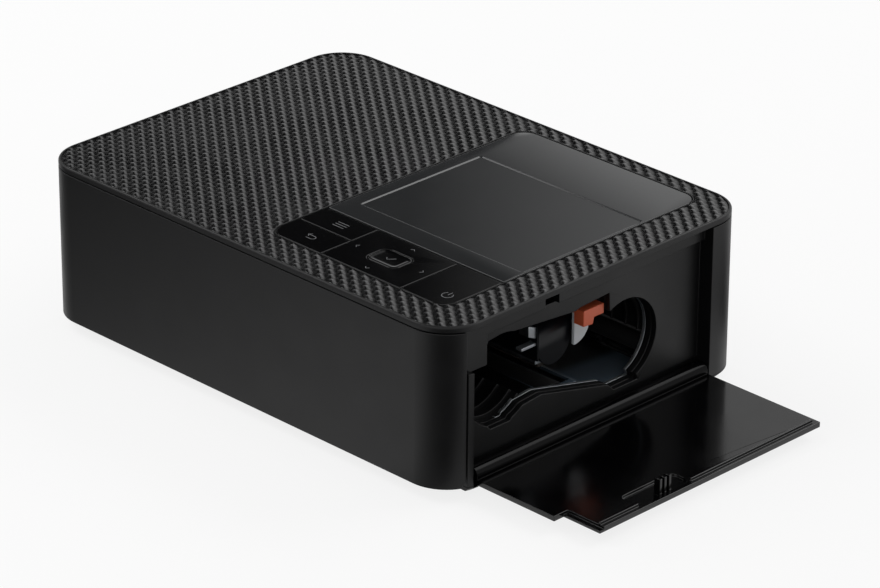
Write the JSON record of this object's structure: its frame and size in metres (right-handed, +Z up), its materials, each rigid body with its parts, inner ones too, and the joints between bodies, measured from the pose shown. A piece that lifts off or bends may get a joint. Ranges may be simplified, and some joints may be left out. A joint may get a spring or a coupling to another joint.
{
  "type": "compact photo printer",
  "caption": "Low rounded photo printer with a woven top, glossy control panel with tilting display, hinged front cover and open side door to the ribbon bay.",
  "frame": {"origin": "on the surface the printer stands on, under the middle of its case", "axes": "+X to the right along the front face, +Y to the rear, +Z up"},
  "size_m": [0.2284, 0.133, 0.0576],
  "materials": {
    "black_case": "fine matt texture",
    "woven_top": "woven relief",
    "inner_black": "matt",
    "gloss_black": "polished",
    "smoked_glass": "polished",
    "display_panel": "satin",
    "rubber": "matt",
    "zinc_steel": "zinc plated",
    "bright_steel": "ground",
    "guide_blue": "satin",
    "white_nylon": "satin",
    "hub_grey": "satin",
    "head_black": "matt",
    "ceramic": "polished",
    "sink_aluminium": "anodised",
    "lever_orange": "satin",
    "board_green": "satin",
    "switch_black": "matt",
    "cable_white": "satin"
  },
  "bodies": {
    "printer": {"body_shell": "black_case", "base_cover": "black_case", "top_cover": "woven_top", "bay_surround": "inner_black", "panel_tray": "inner_black", "fan_housing": "inner_black", "card_slot": "inner_black", "dc_jack": "inner_black", "rubber_feet": "rubber", "chassis_base": "zinc_steel", "left_side_plate": "zinc_steel", "right_side_plate": "zinc_steel", "chassis_bridge": "zinc_steel", "gearbox_plate": "zinc_steel", "feed_motor": "zinc_steel", "ribbon_motor": "zinc_steel", "usb_socket": "zinc_steel", "case_screws": "bright_steel", "lever_pin": "bright_steel", "paper_guide": "guide_blue", "control_board": "board_green", "main_board": "board_green", "key_switches": "switch_black", "panel_cable": "cable_white"},
    "front_cover": {"front_cover": "black_case"},
    "ribbon_door": {"ribbon_door": "black_case"},
    "display": {"display_housing": "inner_black", "display_glass": "smoked_glass", "display_module": "display_panel", "display_pins": "bright_steel"},
    "menu_key": {"menu_key": "gloss_black"},
    "back_key": {"back_key": "gloss_black"},
    "power_key": {"power_key": "gloss_black"},
    "ok_key": {"ok_key": "gloss_black"},
    "direction_key_pivot": {"direction_key_pivot": "inner_black"},
    "direction_key": {"direction_key": "gloss_black"},
    "platen": {"platen_roller": "rubber", "platen_shaft": "bright_steel"},
    "pinch": {"pinch_roller": "rubber", "pinch_shaft": "bright_steel"},
    "pickup": {"pickup_roller": "rubber", "pickup_shaft": "bright_steel"},
    "feed": {"feed_roller": "bright_steel", "feed_gear": "white_nylon"},
    "idler": {"idler_gear": "white_nylon"},
    "feed_pinion": {"feed_pinion": "white_nylon"},
    "takeup": {"takeup_hub": "hub_grey", "takeup_gear": "white_nylon"},
    "ribbon_pinion": {"ribbon_pinion": "white_nylon"},
    "supply": {"supply_hub": "hub_grey"},
    "head": {"thermal_head": "ceramic", "head_heat_sink": "sink_aluminium", "head_bracket": "head_black", "head_rack": "white_nylon"},
    "head_lift": {"head_lift_gear": "white_nylon"},
    "eject_lever": {"eject_lever": "lever_orange"},
    "fan": {"fan_impeller": "inner_black"}
  },
  "joints": [
    {"name": "front_cover_hinge", "type": "hinge", "parent": "printer", "child": "front_cover", "pos_m": [0, -0.062, 0.0071], "axis": [1, 0, 0], "range_deg": [0, 90]},
    {"name": "ribbon_door_hinge", "type": "hinge", "parent": "printer", "child": "ribbon_door", "pos_m": [0.08835, 0, 0.00635], "axis": [0, -1, 0], "range_deg": [0, 90]},
    {"name": "display_tilt", "type": "hinge", "parent": "printer", "child": "display", "pos_m": [0.0385, -0.0238, 0.0556], "axis": [1, 0, 0], "range_deg": [0, 45]},
    {"name": "menu_key_press", "type": "slide", "parent": "printer", "child": "menu_key", "axis": [0, 0, -1], "range_m": [0, 0.0004], "stiffness_N_per_m": 1500},
    {"name": "back_key_press", "type": "slide", "parent": "printer", "child": "back_key", "axis": [0, 0, -1], "range_m": [0, 0.0004], "stiffness_N_per_m": 1500},
    {"name": "power_key_press", "type": "slide", "parent": "printer", "child": "power_key", "axis": [0, 0, -1], "range_m": [0, 0.0004], "stiffness_N_per_m": 1500},
    {"name": "ok_key_press", "type": "slide", "parent": "printer", "child": "ok_key", "axis": [0, 0, -1], "range_m": [0, 0.0004], "stiffness_N_per_m": 1500},
    {"name": "direction_key_fore_aft", "type": "hinge", "parent": "printer", "child": "direction_key_pivot", "pos_m": [0.0409, -0.04065, 0.0553], "axis": [1, 0, 0], "range_deg": [-1.5, 1.5], "stiffness_Nm_per_rad": 0.12},
    {"name": "direction_key_sideways", "type": "hinge", "parent": "direction_key_pivot", "child": "direction_key", "pos_m": [0.0409, -0.04065, 0.0553], "axis": [0, 1, 0], "range_deg": [-1.5, 1.5], "stiffness_Nm_per_rad": 0.12},
    {"name": "platen_spin", "type": "hinge", "parent": "printer", "child": "platen", "pos_m": [0.02305, -0.006, 0.0112], "axis": [1, 0, 0], "continuous": true},
    {"name": "pinch_spin", "type": "hinge", "parent": "printer", "child": "pinch", "pos_m": [0.02305, 0.036, 0.0152], "axis": [1, 0, 0], "continuous": true},
    {"name": "pickup_spin", "type": "hinge", "parent": "printer", "child": "pickup", "pos_m": [0.025, -0.026, 0.0144], "axis": [1, 0, 0], "continuous": true},
    {"name": "feed_spin", "type": "hinge", "parent": "printer", "child": "feed", "pos_m": [0.02305, 0.036, 0.0088], "axis": [1, 0, 0], "continuous": true},
    {"name": "idler_spin", "type": "hinge", "parent": "printer", "child": "idler", "pos_m": [-0.0375, 0.04364, 0.01644], "axis": [1, 0, 0], "continuous": true},
    {"name": "feed_pinion_spin", "type": "hinge", "parent": "printer", "child": "feed_pinion", "pos_m": [-0.0375, 0.04364, 0.02724], "axis": [1, 0, 0], "continuous": true},
    {"name": "takeup_spin", "type": "hinge", "parent": "printer", "child": "takeup", "pos_m": [-0.0375, 0.016, 0.026], "axis": [1, 0, 0], "continuous": true},
    {"name": "ribbon_pinion_spin", "type": "hinge", "parent": "printer", "child": "ribbon_pinion", "pos_m": [-0.0375, 0.016, 0.038], "axis": [1, 0, 0], "continuous": true},
    {"name": "supply_spin", "type": "hinge", "parent": "printer", "child": "supply", "pos_m": [-0.03, -0.038, 0.0319], "axis": [1, 0, 0], "continuous": true},
    {"name": "head_lower", "type": "slide", "parent": "printer", "child": "head", "axis": [0, 0, -1], "range_m": [0, 0.0057]},
    {"name": "head_lift_spin", "type": "hinge", "parent": "printer", "child": "head_lift", "pos_m": [-0.0375, -0.00014, 0.031], "axis": [1, 0, 0], "range_deg": [0, 69]},
    {"name": "eject_lever_lift", "type": "hinge", "parent": "printer", "child": "eject_lever", "pos_m": [0.06, 0.005, 0.04], "axis": [0, -1, 0], "range_deg": [0, 7], "stiffness_Nm_per_rad": 0.05},
    {"name": "fan_spin", "type": "hinge", "parent": "printer", "child": "fan", "pos_m": [-0.0855, 0.031, 0.0285], "axis": [1, 0, 0], "continuous": true}
  ],
  "couplings": [
    {"joint": "idler_spin", "follows": "feed_spin", "ratio": -0.5},
    {"joint": "feed_pinion_spin", "follows": "feed_spin", "ratio": 1},
    {"joint": "ribbon_pinion_spin", "follows": "takeup_spin", "ratio": -2.3333},
    {"joint": "head_lift_spin", "follows": "head_lower", "rad_per_m": 208.33}
  ]
}
